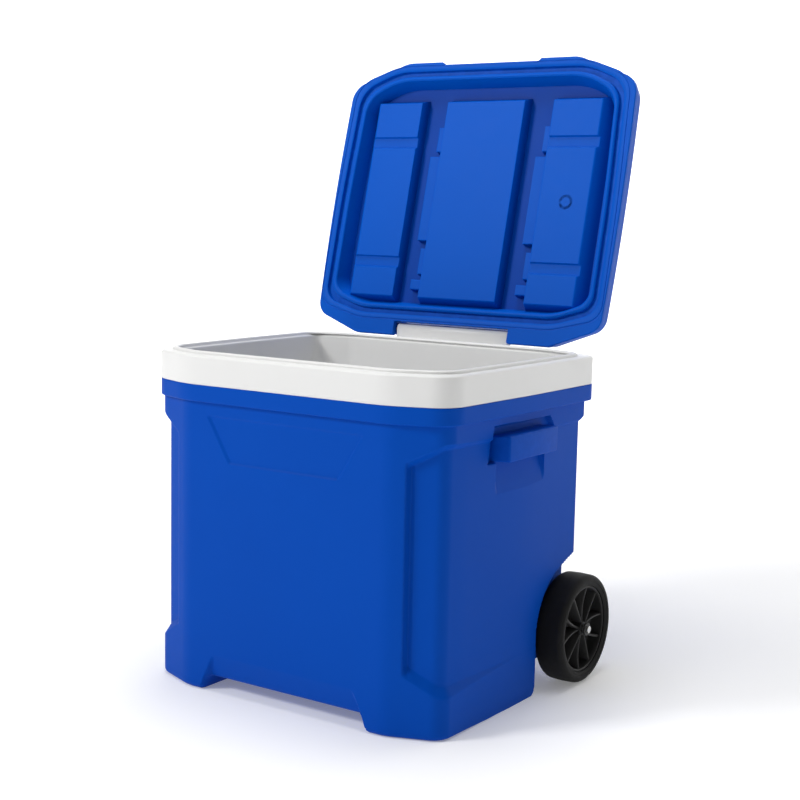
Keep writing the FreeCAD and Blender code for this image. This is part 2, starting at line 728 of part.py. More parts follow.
# ---------------------------------------------------------------------------------------------------------------------
# Drain: a spout through the left wall, held by a nut and gasket inside, and closed by a quarter-turn plug
# ---------------------------------------------------------------------------------------------------------------------
SHELL_FACE = f"-({PROUD_WIDTH})"


def drain_rod(radius, x_low, x_high):
    return rod(radius, x_low, x_high, "drain_y", "drain_z")


node("drain_fitting", cut(
    fuse(
        drain_rod("12", SHELL_FACE, "-floor_half_width + 9"),
        drain_rod("15", f"{SHELL_FACE} - 3.5", SHELL_FACE),
    ),
    drain_rod("drain_bore", "-rim_half_width - 10", "-floor_half_width + 20"),
))
node("drain_gasket", cut(
    drain_rod("13.5", "-floor_half_width + 0.1", "-floor_half_width + 2.1"),
    drain_rod("12.02", "-floor_half_width", "-floor_half_width + 3"),
))
node("drain_nut", cut(
    drain_rod("13.5", "-floor_half_width + 2.2", "-floor_half_width + 9"),
    drain_rod("12", "-floor_half_width", "-floor_half_width + 12"),
))
PLUG_FACE = f"{SHELL_FACE} - 3.6"
stem_groove = cut(
    drain_rod("10", f"{PLUG_FACE} + 12", f"{PLUG_FACE} + 15"),
    drain_rod("7", f"{PLUG_FACE} + 11", f"{PLUG_FACE} + 16"),
)
node("drain_plug", cut(
    fuse(
        drain_rod("14", f"{PLUG_FACE} - 7", PLUG_FACE),
        drain_rod("drain_bore - 0.08", f"{PLUG_FACE} - 1", f"{PLUG_FACE} + 22"),
        box(f"{PLUG_FACE} - 17", f"{PLUG_FACE} - 6", "drain_y - 12", "drain_y + 12", "drain_z - 3", "drain_z + 3"),
    ),
    stem_groove,
))
node("drain_plug_seal", cut(
    drain_rod("drain_bore - 0.03", f"{PLUG_FACE} + 12.1", f"{PLUG_FACE} + 14.9"),
    drain_rod("7", f"{PLUG_FACE} + 12", f"{PLUG_FACE} + 15"),
))

# ---------------------------------------------------------------------------------------------------------------------
# Check every object, then write one STEP file for each sub-part
# ---------------------------------------------------------------------------------------------------------------------
doc.recompute()
for feature in doc.Objects:
    faults = {"Invalid", "Error"} & set(feature.State)
    if faults:
        raise RuntimeError(f"{feature.Label} is {faults}")
for feature in nodes:
    if feature.Shape.isNull() or not feature.Shape.isValid():
        raise RuntimeError(f"{feature.Label} has no valid shape")
os.makedirs("parts", exist_ok=True)
for feature in nodes:
    feature.Shape.exportStep(os.path.join("parts", feature.Label + ".step"))
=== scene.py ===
import math

import bmesh
import bpy
import numpy as np
from mathutils import Matrix, Vector
from mathutils.geometry import tessellate_polygon


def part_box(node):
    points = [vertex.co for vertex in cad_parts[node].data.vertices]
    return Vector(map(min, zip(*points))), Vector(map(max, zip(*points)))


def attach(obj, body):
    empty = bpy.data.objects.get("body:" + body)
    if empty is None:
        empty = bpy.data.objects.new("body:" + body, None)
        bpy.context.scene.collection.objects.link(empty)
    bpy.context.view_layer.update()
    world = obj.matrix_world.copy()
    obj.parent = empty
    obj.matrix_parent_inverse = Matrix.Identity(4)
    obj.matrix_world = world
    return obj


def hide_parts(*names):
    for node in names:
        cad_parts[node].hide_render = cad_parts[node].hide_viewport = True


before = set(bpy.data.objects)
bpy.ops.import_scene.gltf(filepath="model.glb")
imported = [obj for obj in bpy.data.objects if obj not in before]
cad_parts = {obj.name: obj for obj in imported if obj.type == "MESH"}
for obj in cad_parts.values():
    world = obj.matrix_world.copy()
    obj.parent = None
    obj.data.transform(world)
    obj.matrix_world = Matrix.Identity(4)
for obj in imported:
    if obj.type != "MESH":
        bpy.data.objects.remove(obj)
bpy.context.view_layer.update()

# --------------------------------------------------------------------------------------------------
# Studio: a pale floor that curves up into a pale wall, a soft light in front on the left, a weak one
# beside it, one overhead, and a pale surround. The camera stands to the right of the cooler's front,
# a little above its rim.
# --------------------------------------------------------------------------------------------------
scene = bpy.context.scene
scene.view_settings.view_transform = "Standard"

camera_data = bpy.data.cameras.new("camera")
camera_data.sensor_width = 36.0
camera_data.lens = 65.87
camera_data.clip_end = 50.0
camera = bpy.data.objects.new("camera", camera_data)
camera.location = (1.1630, -1.6611, 0.6610)
camera_yaw, camera_pitch, camera_roll = 33.963, 7.516, 1.195
camera.rotation_euler = (
    Matrix.Rotation(math.radians(camera_yaw), 3, "Z")
    @ Matrix.Rotation(math.radians(90.0 - camera_pitch), 3, "X")
    @ Matrix.Rotation(math.radians(camera_roll), 3, "Z")
).to_euler()
scene.collection.objects.link(camera)
scene.camera = camera

world = bpy.data.worlds.new("studio")
world.use_nodes = True
world.node_tree.nodes["Background"].inputs["Color"].default_value = (1.0, 1.0, 1.0, 1.0)
world.node_tree.nodes["Background"].inputs["Strength"].default_value = 0.20
scene.world = world


def soft_light(name, location, target, size, power):
    data = bpy.data.lights.new(name, "AREA")
    data.shape = "RECTANGLE"
    data.size, data.size_y = size
    data.energy = power
    light = bpy.data.objects.new(name, data)
    light.location = location
    light.rotation_euler = (Vector(target) - Vector(location)).to_track_quat("-Z", "Y").to_euler()
    scene.collection.objects.link(light)


soft_light("key_light", (-1.9, -2.8, 2.7), (0.0, 0.0, 0.4), (0.9, 0.9), 72.0)
soft_light("front_light", (-1.1, -3.1, 2.5), (0.0, 0.0, 0.35), (1.8, 1.8), 9.0)
soft_light("top_light", (-0.1, 0.0, 3.0), (0.0, 0.0, 0.4), (1.4, 1.4), 42.0)


class Wire:
    """One output of a shader node. Arithmetic on it adds Math nodes."""

    def __init__(self, finish, socket):
        self.finish = finish
        self.socket = socket

    def math(self, operation, first, second=0.0):
        return self.finish.node("ShaderNodeMath", {"operation": operation}, {0: first, 1: second})

    def __add__(self, other):
        return self.math("ADD", self, other)

    def __mul__(self, other):
        return self.math("MULTIPLY", self, other)

    __radd__ = __add__
    __rmul__ = __mul__

    def between(self, low, high):
        """0 below low, 1 above high and smooth between them."""
        settings = {"interpolation_type": "SMOOTHSTEP"}
        sockets = {"Value": self, "From Min": low, "From Max": high}
        return self.finish.node("ShaderNodeMapRange", settings, sockets)


class Finish:
    """A material: its Principled shader's constant values, and the nodes that vary them over the surface."""

    def __init__(self, name, **constants):
        self.material = bpy.data.materials.new(name)
        self.material.use_nodes = True
        self.tree = self.material.node_tree
        self.shader = self.tree.nodes["Principled BSDF"]
        for key, value in constants.items():
            self.shader.inputs[key.replace("_", " ").title().replace("Ior", "IOR")].default_value = value

    def node(self, kind, settings=None, sockets=None, output=0):
        made = self.tree.nodes.new(kind)
        for key, value in (settings or {}).items():
            setattr(made, key, value)
        for key, value in (sockets or {}).items():
            if isinstance(value, Wire):
                self.tree.links.new(value.socket, made.inputs[key])
            else:
                made.inputs[key].default_value = value
        return Wire(self, made.outputs[output])

    def place(self):
        return self.node("ShaderNodeTexCoord", output="Object")

    def noise(self, size, detail=2.0, roughness=0.5, stretch=None):
        """Noise from 0 to 1 whose blobs are about size metres across."""
        vector = self.place()
        if stretch:
            vector = self.node("ShaderNodeVectorMath", {"operation": "MULTIPLY"}, {0: vector, 1: stretch})
        sockets = {"Vector": vector, "Scale": 1.0 / size, "Detail": detail, "Roughness": roughness}
        return self.node("ShaderNodeTexNoise", None, sockets)

    def mix(self, factor, first, second):
        """A colour between two colours."""
        settings = {"data_type": "RGBA"}
        return self.node("ShaderNodeMix", settings, {0: factor, 6: first, 7: second}, 2)

    def edges(self):
        """The exposed edges, where parts rub: 1 on sharp outer edges and 0 on flat faces."""
        return self.node("ShaderNodeNewGeometry", output="Pointiness").between(0.512, 0.56)

    def bump(self, height, distance, strength=1.0):
        sockets = {"Height": height, "Distance": distance, "Strength": strength}
        self.drive("Normal", self.node("ShaderNodeBump", None, sockets))

    def drive(self, socket, wire):
        self.tree.links.new(wire.socket, self.shader.inputs[socket])


paper = Finish("studio_paper", roughness=0.9, specular_ior_level=0.1, emission_strength=1.0)
paper_clouds = paper.mix(paper.noise(0.4), (0.90, 0.90, 0.90, 1.0), (0.93, 0.93, 0.93, 1.0))
paper.drive("Base Color", paper_clouds)
# Painted light: the paper glows, dim near the cooler where its shadows fall and bright far off, so the
# backdrop reads white.
apart = paper.node("ShaderNodeVectorMath", {"operation": "LENGTH"}, {0: paper.place()}, 1)
paper_painted_glow = paper.mix(apart.between(0.6, 2.8), (0.18, 0.18, 0.18, 1.0), (0.85, 0.85, 0.85, 1.0))
paper.drive("Emission Color", paper_painted_glow)


def surface(name, points, finish, closed=True, body=None, angle=35.0):
    """A piece through rows of points, an array of rows by columns by 3. Closed joins the last column
    to the first."""
    rows, columns = points.shape[:2]
    index = np.arange(rows * columns).reshape(rows, columns)
    across = np.roll(index, -1, axis=1) if closed else index[:, 1:]
    near = index if closed else index[:, :-1]
    faces = np.stack([near[:-1], across[:-1], across[1:], near[1:]], axis=-1).reshape(-1, 4)
    mesh = bpy.data.meshes.new(name)
    mesh.from_pydata(points.reshape(-1, 3).tolist(), [], faces.tolist())
    return finished(name, mesh, finish, body, angle)


def finished(name, mesh, finish, body=None, angle=35.0):
    """A mesh made into a piece: smooth but for its sharp edges, with its material, riding on its body."""
    mesh.validate()
    mesh.polygons.foreach_set("use_smooth", [True] * len(mesh.polygons))
    mesh.set_sharp_from_angle(angle=math.radians(angle))
    mesh.materials.append(finish.material)
    piece = bpy.data.objects.new(name, mesh)
    scene.collection.objects.link(piece)
    if body:
        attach(piece, body)
    return piece


FLOOR_NEAR, FLOOR_FAR = -6.0, 4.0
SWEEP_RADIUS = 1.5
WALL_HEIGHT = 6.0
PAPER_HALF_WIDTH = 8.0
turn = np.linspace(0.0, math.pi / 2, 24)
wall_y = FLOOR_FAR + SWEEP_RADIUS
sweep_y = np.concatenate([[FLOOR_NEAR], FLOOR_FAR + SWEEP_RADIUS * np.sin(turn), [wall_y]])
sweep_z = np.concatenate([[0.0], SWEEP_RADIUS - SWEEP_RADIUS * np.cos(turn), [WALL_HEIGHT]])
paper_x = np.linspace(-PAPER_HALF_WIDTH, PAPER_HALF_WIDTH, 9)
paper_rows = [[(x, y, z) for x in paper_x] for y, z in zip(sweep_y, sweep_z)]
surface("studio_floor", np.array(paper_rows), paper, closed=False, angle=80.0)

# --------------------------------------------------------------------------------------------------
# Outer shell: one blow-moulded skin of blue polyethylene. A band under the white rim stands proud of
# a skirt, the wall is sunk between the skirt and the base ring, and a flat panel fills the front.
# Wheel arches open at the back corners.
# --------------------------------------------------------------------------------------------------
rim_low, rim_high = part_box("inner_liner")
RIM_HALF_WIDTH = rim_high.x - 0.0035
RIM_HALF_DEPTH = -rim_low.y
SIDE_SPREAD = 0.028
BAND_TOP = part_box("outer_shell")[1].z
BAND_BOTTOM = BAND_TOP - 0.023
SKIRT_HALF_WIDTH = RIM_HALF_WIDTH - 0.005
SKIRT_FRONT = RIM_HALF_DEPTH - 0.006
SKIRT_REAR = RIM_HALF_DEPTH - 0.013
FLAT_HALF = 0.165
FACET_DROP = 0.028
WALL_SINK = 0.0065
PANEL_HALF = 0.1865
PLAQUE_LOW, PLAQUE_HIGH = 0.318, 0.381
PLAQUE_HALF = 0.0895
TOE_HALF, TOE_TOP, TOE_SINK = 0.141, 0.053, 0.011
HANDLE_MIDDLE = 0.0025
NOTCH_LOW, NOTCH_HIGH = 0.337, 0.388
NOTCH_SINK = 0.0140
SCOOP_LOW, SCOOP_HIGH = 0.296, 0.372
SCOOP_HALF = 0.064
SCOOP_SINK = 0.0100
MOULD_ROUND = 0.0035
BASE_ROUND = 0.008
BASE_RING = 0.062
RUNNER_HALF = 0.139
UNDERSIDE = 0.018
CROSS_RIB_HALF = 0.015
AXLE_RISE = 0.034
ARCH_FACE = 0.211
WHEEL_CENTRE = (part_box("tyre_right")[0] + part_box("tyre_right")[1]) / 2
ARCH_RADIUS = 0.092
ARCH_FRONT = WHEEL_CENTRE.y - ARCH_RADIUS
ARCH_CORNER = 0.012


def step(value, low, high):
    """0 below low, 1 above high, and an eased slope between them."""
    share = np.clip((value - low) / (high - low), 0.0, 1.0)
    return share * share * (3.0 - 2.0 * share)


def ramp(value, low, high):
    return np.clip((value - low) / (high - low), 0.0, 1.0)


def rounded_loop(corners, straight_steps):
    """A closed plan through corners, each an x, a y, a radius and its arc's number of steps."""
    rounds = []
    for number, (x, y, radius, arc_steps) in enumerate(corners):
        here = np.array([x, y])
        before = np.array(corners[number - 1][:2]) - here
        after = np.array(corners[(number + 1) % len(corners)][:2]) - here
        before /= np.linalg.norm(before)
        after /= np.linalg.norm(after)
        half = math.acos(float(np.clip(before @ after, -1.0, 1.0))) / 2
        middle = here + (before + after) / np.linalg.norm(before + after) * radius / math.sin(half)
        start = here + before * radius / math.tan(half) - middle
        inward = before[0] * after[1] - before[1] * after[0] >= 0
        sweep = (2 * half - math.pi) if inward else (math.pi - 2 * half)
        arc_points = []
        for angle in np.linspace(0.0, sweep, arc_steps + 1):
            spin = np.array([[math.cos(angle), -math.sin(angle)], [math.sin(angle), math.cos(angle)]])
            arc_points.append(middle + spin @ start)
        rounds.append(arc_points)
    points = []
    for number, arc_points in enumerate(rounds):
        points += arc_points
        last = arc_points[-1]
        following = rounds[(number + 1) % len(rounds)][0]
        for share in np.linspace(0.0, 1.0, straight_steps[number] + 1)[1:-1]:
            points.append(last + (following - last) * share)
    return np.array(points)


PLAN_STEPS = (170, 50, 170, 34, 110, 34, 170, 50)


def cooler_plan(half_width, front, rear, flat=FLAT_HALF, corner=0.022, soft=0.06, drop=FACET_DROP):
    """The cooler's plan at one level: flat front and back, angled facets, and round corners to the
    sides, which spread a little from the front corners to the middle and then run straight."""
    back_drop = drop * 0.7
    back_corner = corner * 0.65
    corners = [
        (-flat, -front, soft, 8),
        (flat, -front, soft, 8),
        (half_width, drop - front, corner, 12),
        (half_width, rear - back_drop, back_corner, 12),
        (flat, rear, soft, 8),
        (-flat, rear, soft, 8),
        (-half_width, rear - back_drop, back_corner, 12),
        (-half_width, drop - front, corner, 12),
    ]
    loop = rounded_loop(corners, PLAN_STEPS)
    loop[:, 0] *= 1.0 + SIDE_SPREAD * step(loop[:, 1], -0.20, 0.04)
    return loop


def outward(loop):
    along = np.roll(loop, -1, axis=0) - np.roll(loop, 1, axis=0)
    normal = np.stack([along[:, 1], -along[:, 0]], axis=1)
    return normal / np.linalg.norm(normal, axis=1, keepdims=True)


def wall_depth(width, y, z, front):
    """How deep the wall lies between the skirt and the base ring. The front panel stands out of it,
    between two grooves."""
    flank = 0.2 * step(width, PANEL_HALF - 0.0025, PANEL_HALF + 0.0075)
    flank += 0.8 * ramp(width, PANEL_HALF, PANEL_HALF + 0.0045)
    groove = 0.0016 * ramp(width, 0.1875, 0.1900) * (1.0 - ramp(width, 0.1920, 0.1960))
    to_side = np.where(front, ramp(width, 0.190, 0.232), 1.0)
    low = 0.093 - 0.025 * to_side
    high = 0.345 + 0.023 * to_side
    depth = WALL_SINK + 0.0025 * step(y, 0.0, 0.18) + 0.0020 * (1.0 - step(y, -0.175, -0.12))
    sunk = depth * np.where(front, flank, 1.0) + np.where(front, groove, 0.0)
    return sunk * ramp(z, low - 0.013, low) * (1.0 - ramp(z, high, high + 0.007))


def handle_depth(y, z):
    """How deep the notch and the finger scoop of a side handle lie."""
    to_front = 0.074 + (NOTCH_HIGH - z) * 0.21 - (HANDLE_MIDDLE - y)
    to_rear = np.minimum(0.0735 + (NOTCH_HIGH - z) * 0.90, 0.086) - (y - HANDLE_MIDDLE)
    inside = np.minimum(np.minimum(to_front, to_rear), np.minimum(NOTCH_HIGH - z, z - NOTCH_LOW))
    notch = NOTCH_SINK * step(inside, 0.0, MOULD_ROUND)
    scoop = WALL_SINK + SCOOP_SINK * ramp(z, SCOOP_LOW + 0.001, 0.341)
    scoop = scoop * step(SCOOP_HALF - np.abs(y - HANDLE_MIDDLE), 0.0, MOULD_ROUND)
    scoop = scoop * (z < SCOOP_HIGH) * (z > SCOOP_LOW)
    return np.maximum(notch, scoop)


def wall_sink(x, y, z, across):
    """How far the wall, plaque, toe recess and side handles lie inside the skirt's plan."""
    width = np.abs(x)
    front = y < -0.10
    sink = wall_depth(width, y, z, front)
    across_plaque = PLAQUE_HALF + (z - PLAQUE_LOW) * 0.62 - width
    inside = np.minimum(across_plaque, np.minimum(z - PLAQUE_LOW, PLAQUE_HIGH - z))
    plaque = 0.0020 * step(inside, 0.0, 0.0030)
    sink = np.maximum(sink, np.where(front & (width < 0.19), plaque, 0.0))
    toe = TOE_SINK * step(TOE_HALF - 0.44 * z - width, 0.0, 0.004) * ramp(TOE_TOP - z, 0.0, 0.035)
    sink = np.maximum(sink, np.where(front, toe, 0.0))
    return np.maximum(sink, np.where(np.abs(across) > 0.9, handle_depth(y, z), 0.0))


def arch_inside(y, z):
    """How deep a point is inside the wheel arch, seen from the side."""
    round_roof = ARCH_RADIUS - np.hypot(y - WHEEL_CENTRE.y, z - WHEEL_CENTRE.z)
    slope = 0.1665 + 0.33 * (y - 0.124) - z
    behind = np.where(y > 0.124, slope, -1.0)
    lift = np.clip(1.0 - z / ARCH_CORNER, 0.0, 1.0)
    edge = ARCH_FRONT - ARCH_CORNER * (1.0 - np.sqrt(1.0 - lift * lift))
    below = np.where(z < WHEEL_CENTRE.z, y - edge, -1.0)
    return np.maximum(round_roof, np.maximum(behind, below))


shell_plan = cooler_plan(SKIRT_HALF_WIDTH, SKIRT_FRONT, SKIRT_REAR, corner=0.028)
shell_normal = outward(shell_plan)
band_plan = cooler_plan(RIM_HALF_WIDTH, RIM_HALF_DEPTH, RIM_HALF_DEPTH, corner=0.042, soft=0.11)
band_normal = outward(band_plan)


def between_runners(x):
    """The height of the underside between its two runners."""
    return UNDERSIDE * step(RUNNER_HALF - np.abs(x), 0.0, 0.008)


def over_axle(y):
    """The height of the underside behind the front of the wheel arches, where the axle runs."""
    return AXLE_RISE * step(y, ARCH_FRONT + 0.002, ARCH_FRONT + 0.012)


def shell_row(level, inset):
    """One level of the shell: its plan, sunk where the wall is, lifted off the ground between the
    runners and over the axle, and cut by the wheel arches."""
    x, y = shell_plan[:, 0].copy(), shell_plan[:, 1].copy()
    faces_end = np.abs(shell_normal[:, 1]) > 0.35
    floor = np.maximum(np.where(faces_end, between_runners(x), 0.0), over_axle(y))
    z = floor + level * (BASE_RING - floor) / BASE_RING if level < BASE_RING else np.full_like(x, level)
    sink = wall_sink(x, y, z, shell_normal[:, 0]) + inset
    x -= shell_normal[:, 0] * sink
    y -= shell_normal[:, 1] * sink
    limit = SKIRT_HALF_WIDTH + (ARCH_FACE - SKIRT_HALF_WIDTH) * step(arch_inside(y, z), 0.0, 0.0022)
    return np.stack([np.clip(x, -limit, limit), y, z], axis=1)


def band_row(level, inset):
    loop = band_plan - band_normal * inset
    return np.column_stack([loop, np.full(len(loop), level)])


def arc(start, stop, count):
    return np.radians(np.linspace(start, stop, count))


shell_rows = []
for share in (1.0, 0.97, 0.93, 0.92, 0.91, 0.90, 0.8, 0.69, 0.66, 0.63, 0.5, 0.3, 0.15, 0.05, 0.0):
    row = shell_row(0.0, BASE_ROUND)
    row[:, 1] *= 1.0 - share
    beside_rib = step(np.abs(row[:, 1]), CROSS_RIB_HALF, CROSS_RIB_HALF + 0.003)
    row[:, 2] = np.maximum(between_runners(row[:, 0]) * beside_rib, over_axle(row[:, 1]))
    shell_rows.append(row)
for turn in arc(0.0, 90.0, 7)[1:]:
    shell_rows.append(shell_row(BASE_ROUND * (1.0 - math.cos(turn)), BASE_ROUND * (1.0 - math.sin(turn))))
levels = np.concatenate([
    np.arange(0.010, 0.060, 0.002),
    np.arange(0.060, 0.100, 0.0012),
    np.arange(0.100, 0.186, 0.002),
    np.arange(0.186, 0.294, 0.003),
    np.arange(0.294, BAND_BOTTOM - 0.001, 0.0014),
])
for level in levels:
    shell_rows.append(shell_row(level, 0.0))
shell_rows.append(shell_row(BAND_BOTTOM - 0.0002, 0.0))
LOWER_ROUND, UPPER_ROUND = 0.002, 0.0012
for turn in arc(0.0, 90.0, 5):
    level = BAND_BOTTOM + LOWER_ROUND * (1.0 - math.cos(turn))
    shell_rows.append(band_row(level, LOWER_ROUND * (1.0 - math.sin(turn))))
for level in np.linspace(BAND_BOTTOM + 0.004, BAND_TOP - 0.003, 6):
    shell_rows.append(band_row(level, 0.0))
for turn in arc(0.0, 90.0, 4):
    level = BAND_TOP - UPPER_ROUND * (1.0 - math.sin(turn))
    shell_rows.append(band_row(level, UPPER_ROUND * (1.0 - math.cos(turn))))
shell_rows.append(band_row(BAND_TOP, 0.012))


def colour(red, green, blue):
    """A linear colour from 8-bit display values."""
    levels = []
    for level in (red, green, blue):
        share = level / 255.0
        levels.append(share / 12.92 if share <= 0.04045 else ((share + 0.055) / 1.055) ** 2.4)
    return (*levels, 1.0)


def moulded_blue(name, base, deep, roughness):
    """Blue polyethylene: even colour, a fine spark-eroded texture, faint scuffs, paler rubbed edges."""
    blue = Finish(name, ior=1.5, specular_ior_level=0.05)
    even = blue.mix(blue.noise(0.18, 3.0), deep, base)
    rubbed = blue.edges() * blue.noise(0.012, 3.0).between(0.35, 0.75) * 0.35
    pale = (0.01, base[1] * 1.5, min(1.0, base[2] * 1.4), 1.0)
    blue.drive("Base Color", blue.mix(rubbed, even, pale))
    scuffs = blue.noise(0.03, 4.0, 0.7, (1.0, 1.0, 6.0)).between(0.60, 0.82)
    blue.drive("Roughness", roughness + 0.05 * blue.noise(0.02, 3.0) + 0.10 * scuffs)
    grain = blue.noise(0.0009, 2.0) + 0.6 * blue.noise(0.0022, 2.0)
    blue.bump(grain, 0.00006, 0.8)
    return blue


shell_blue = moulded_blue("shell_blue", colour(0, 75, 180), colour(0, 71, 174), 0.45)
shell = surface("outer_shell_skin", np.array(shell_rows), shell_blue, body="cooler_body", angle=50.0)
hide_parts("outer_shell", "foam_insulation")

# --------------------------------------------------------------------------------------------------
# Grip blocks: on each side a hollow block stands out below a notch in the skirt, with the finger
# scoop under it. It is part of the same blue moulding as the shell.
# --------------------------------------------------------------------------------------------------
GRIP_HALF_LENGTH = 0.064
GRIP_LOW, GRIP_HIGH = 0.341, 0.375
GRIP_FACE, GRIP_ROOT = 0.256, 0.2262
GRIP_ROUND = 0.0028
ROOT_DROP, ROOT_SPREAD = 0.0010, 0.003


def rounded_box(low, high, radius, steps=4):
    """A bmesh box between two corners with rounded edges."""
    box_mesh = bmesh.new()
    bmesh.ops.create_cube(box_mesh, size=1.0)
    low, high = Vector(low), Vector(high)
    for vertex in box_mesh.verts:
        vertex.co = Vector((low[i] + (vertex.co[i] + 0.5) * (high[i] - low[i]) for i in range(3)))
    bmesh.ops.bevel(box_mesh, geom=box_mesh.edges[:], offset=radius, segments=steps,
                    affect="EDGES", profile=0.5)
    return box_mesh


for side_name, side in (("right", 1.0), ("left", -1.0)):
    block = rounded_box((GRIP_ROOT, HANDLE_MIDDLE - GRIP_HALF_LENGTH, GRIP_LOW),
                        (GRIP_FACE, HANDLE_MIDDLE + GRIP_HALF_LENGTH, GRIP_HIGH), GRIP_ROUND)
    for vertex in block.verts:
        depth = (GRIP_FACE - vertex.co.x) / (GRIP_FACE - GRIP_ROOT)
        vertex.co.z -= ROOT_DROP * depth
        vertex.co.y += ROOT_SPREAD * depth * (1.0 if vertex.co.y > HANDLE_MIDDLE else -1.0)
        vertex.co.x *= side
    if side < 0:
        bmesh.ops.reverse_faces(block, faces=block.faces[:])
    mesh = bpy.data.meshes.new(f"grip_block_{side_name}")
    block.to_mesh(mesh)
    block.free()
    grip_block = finished(f"grip_block_{side_name}", mesh, shell_blue, "cooler_body")

# --------------------------------------------------------------------------------------------------
# Inner liner: one white polypropylene moulding. A deep rim hangs over the blue band, a low sealing
# lip runs round its top, and the tapered tub below has a floor stepped up over the axle. The hinge
# block stands on the rim at the back.
# --------------------------------------------------------------------------------------------------
RIM_BOTTOM = BAND_TOP
RIM_TOP = RIM_BOTTOM + 0.039
RIM_CORNER, RIM_SOFT = 0.042, 0.11
LIP_INSET = 0.012
LIP_REAR_INSET = 0.025
LIP_SETBACK = LIP_REAR_INSET - LIP_INSET
LIP_HEIGHT = 0.005
LIP_RADIUS = 0.003
LIP_FOOT = 0.0015
EDGE_ROUND = 0.003
TUB_FLOOR = 0.036
FLOOR_HALF_WIDTH, FLOOR_FRONT, FLOOR_REAR = 0.204, 0.174, 0.152
MOUTH_GROWTH = (0.0225, 0.0175, 0.0265)
FLOOR_ROUND = 0.012
FLOOR_SHARE = 0.02
STEP_TOP = 0.104
STEP_FRONT = 0.088
HINGE_Y, HINGE_Z = 0.206, 0.475
HINGE_HALF_WIDTH = 0.098
HINGE_BARREL = 0.0088


def rim_row(inset, level, extra_rear=0.0):
    """The rim's plan at one level, set in from the rim's outer face."""
    loop = cooler_plan(RIM_HALF_WIDTH - inset, RIM_HALF_DEPTH - inset, RIM_HALF_DEPTH - inset - extra_rear,
                       corner=RIM_CORNER, soft=RIM_SOFT)
    return np.column_stack([loop, np.full(len(loop), level)])


def tub_row(share, inset, level):
    """The tub's plan, from its floor (0) to its mouth (1)."""
    half_width = FLOOR_HALF_WIDTH + MOUTH_GROWTH[0] * share - inset
    front = FLOOR_FRONT + MOUTH_GROWTH[1] * share - inset
    rear = FLOOR_REAR + MOUTH_GROWTH[2] * share - inset
    loop = cooler_plan(half_width / (1.0 + SIDE_SPREAD), front, rear, corner=0.024, drop=0.024)
    return np.column_stack([loop, np.full(len(loop), level)])


def tub_level(share):
    return TUB_FLOOR + (RIM_TOP - TUB_FLOOR) * share


liner_rows = [rim_row(0.0045, RIM_BOTTOM), rim_row(0.0008, RIM_BOTTOM), rim_row(0.0, RIM_BOTTOM + 0.0008)]
for level in np.linspace(RIM_BOTTOM + 0.004, RIM_TOP - 0.005, 8):
    liner_rows.append(rim_row(0.0, level))
for turn in arc(0.0, 90.0, 8):
    inset = EDGE_ROUND * (1.0 - math.cos(turn))
    liner_rows.append(rim_row(inset, RIM_TOP - EDGE_ROUND * (1.0 - math.sin(turn))))
for turn in arc(0.0, 90.0, 5):
    inset = LIP_INSET - LIP_FOOT * (1.0 - math.sin(turn))
    liner_rows.append(rim_row(inset, RIM_TOP + LIP_FOOT * (1.0 - math.cos(turn)), LIP_SETBACK))
for turn in arc(0.0, 180.0, 13):
    inset = LIP_INSET + LIP_RADIUS - LIP_RADIUS * math.cos(turn)
    level = RIM_TOP + LIP_HEIGHT - LIP_RADIUS + LIP_RADIUS * math.sin(turn)
    liner_rows.append(rim_row(inset, level, LIP_SETBACK))
for turn in arc(0.0, 90.0, 6):
    inset = EDGE_ROUND * (math.sin(turn) - 1.0)
    liner_rows.append(tub_row(1.0, inset, RIM_TOP - EDGE_ROUND * (1.0 - math.cos(turn))))
for share in np.linspace(0.985, 0.18, 30):
    liner_rows.append(tub_row(share, 0.0, tub_level(share)))
for share, inset in ((0.164, 0.0), (0.1615, 0.004), (0.1605, 0.0100)):
    liner_rows.append(tub_row(share, inset, tub_level(share)))
for level in (STEP_TOP, STEP_TOP - 0.002, STEP_TOP - 0.004, *np.linspace(0.09, 0.052, 6)):
    liner_rows.append(tub_row((level - TUB_FLOOR) / (RIM_TOP - TUB_FLOOR), 0.0, level))
for turn in arc(0.0, 90.0, 8)[1:]:
    inset = FLOOR_ROUND * (1.0 - math.cos(turn))
    liner_rows.append(tub_row(FLOOR_SHARE, inset, TUB_FLOOR + FLOOR_ROUND * (1.0 - math.sin(turn))))
for share in np.linspace(0.03, 1.0, 16):
    row = tub_row(FLOOR_SHARE, FLOOR_ROUND, TUB_FLOOR)
    row[:, :2] *= 1.0 - share
    liner_rows.append(row)
for row in liner_rows:
    if row[0, 2] <= STEP_TOP:
        below = STEP_TOP - row[:, 2]
        step_face = STEP_FRONT + 0.004 * step(0.004 - below, 0.0, 0.004) - 0.03 * below
        row[:, 1] = np.minimum(row[:, 1], step_face)


def moulded_white(name):
    """White polypropylene: a satin skin with faint clouding, flow marks and a light film of handling dirt."""
    white = Finish(name, ior=1.49, specular_ior_level=0.5)
    clouds = white.noise(0.15, 3.0)
    clean = white.mix(clouds, (0.77, 0.77, 0.76, 1.0), (0.80, 0.80, 0.79, 1.0))
    dirt = white.noise(0.02, 5.0, 0.7).between(0.62, 0.9) * 0.25
    white.drive("Base Color", white.mix(dirt, clean, (0.56, 0.55, 0.52, 1.0)))
    white.drive("Roughness", 0.34 + 0.10 * white.noise(0.03, 3.0))
    white.bump(white.noise(0.0011, 2.0) + 0.5 * white.noise(0.006, 2.0), 0.00005, 0.7)
    return white


liner_white = moulded_white("liner_white")
liner = surface("inner_liner_skin", np.array(liner_rows), liner_white, body="cooler_body", angle=45.0)
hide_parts("inner_liner")


